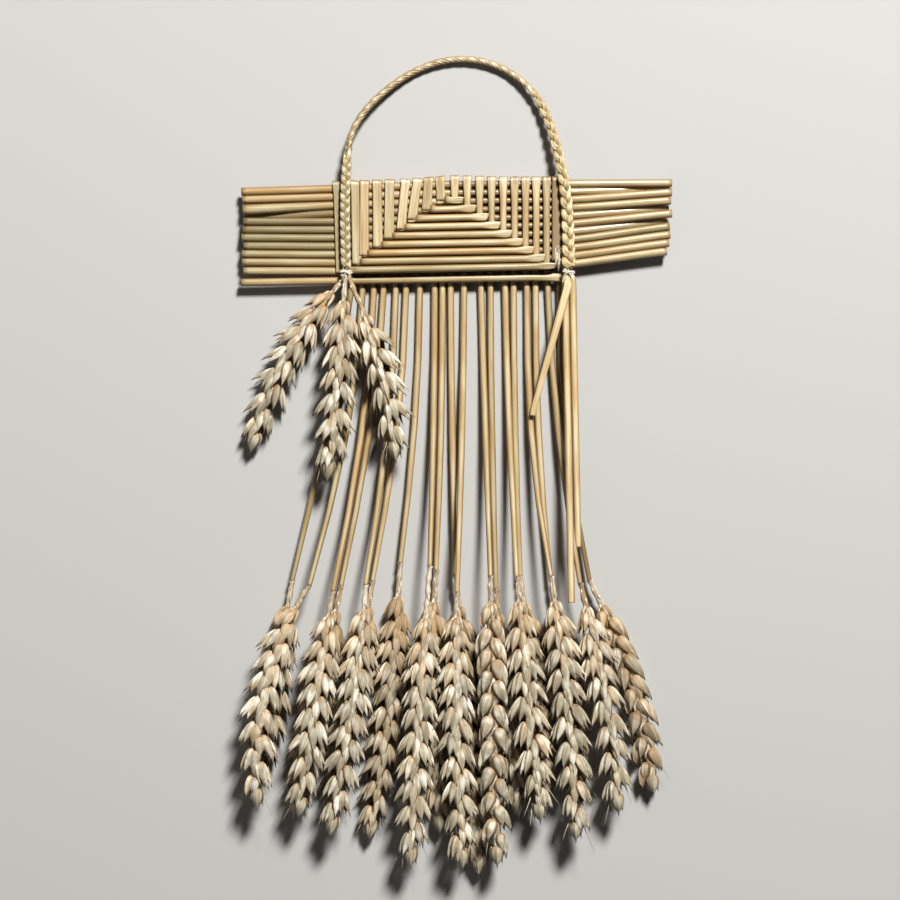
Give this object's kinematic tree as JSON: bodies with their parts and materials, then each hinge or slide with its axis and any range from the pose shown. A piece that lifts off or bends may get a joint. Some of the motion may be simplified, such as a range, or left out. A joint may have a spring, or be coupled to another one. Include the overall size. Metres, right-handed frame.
{
  "type": "straw ornament",
  "caption": "Harvest ornament of wheat straw: a woven bar with ears hanging below it on their stalks, and a plaited hanging loop above.",
  "frame": {"origin": "centre of the bounding box in plan, on the surface that the ornament lies on", "axes": "+Y from the ears towards the hanging loop, +Z out of the front face, +X to the right along the bar"},
  "size_m": [0.1802, 0.3398, 0.0216],
  "materials": {
    "bar_straw": "glossy dry straw, cream to olive gold",
    "ear_straw": "pale flattened straw, matt buff ears",
    "plait_straw": "satin plaited straw, matt buff ears",
    "thread": "undyed cotton thread"
  },
  "bodies": {
    "root": {"bar_straw_01": "bar_straw", "bar_straw_02": "bar_straw", "bar_straw_03": "bar_straw", "bar_straw_04": "bar_straw", "bar_straw_05": "bar_straw", "bar_straw_06": "bar_straw", "bar_straw_07": "bar_straw", "bar_straw_08": "bar_straw", "bar_straw_09": "bar_straw", "bar_straw_10": "bar_straw", "bar_straw_11": "bar_straw", "bar_straw_12": "bar_straw", "ear_straw_01": "ear_straw", "ear_straw_02": "ear_straw", "ear_straw_03": "ear_straw", "ear_straw_04": "ear_straw", "ear_straw_05": "ear_straw", "ear_straw_06": "ear_straw", "ear_straw_07": "ear_straw", "ear_straw_08": "ear_straw", "ear_straw_09": "ear_straw", "ear_straw_10": "ear_straw", "ear_straw_11": "ear_straw", "ear_straw_12": "ear_straw", "ear_straw_13": "ear_straw", "ear_straw_14": "ear_straw", "ear_straw_15": "ear_straw", "ear_straw_16": "ear_straw", "ear_straw_17": "ear_straw", "ear_straw_18": "ear_straw", "ear_straw_19": "ear_straw", "plait_straw_left": "plait_straw", "plait_straw_middle": "plait_straw", "plait_straw_right": "plait_straw", "thread_tie_left": "thread", "thread_tie_right": "thread"}
  },
  "joints": []
}
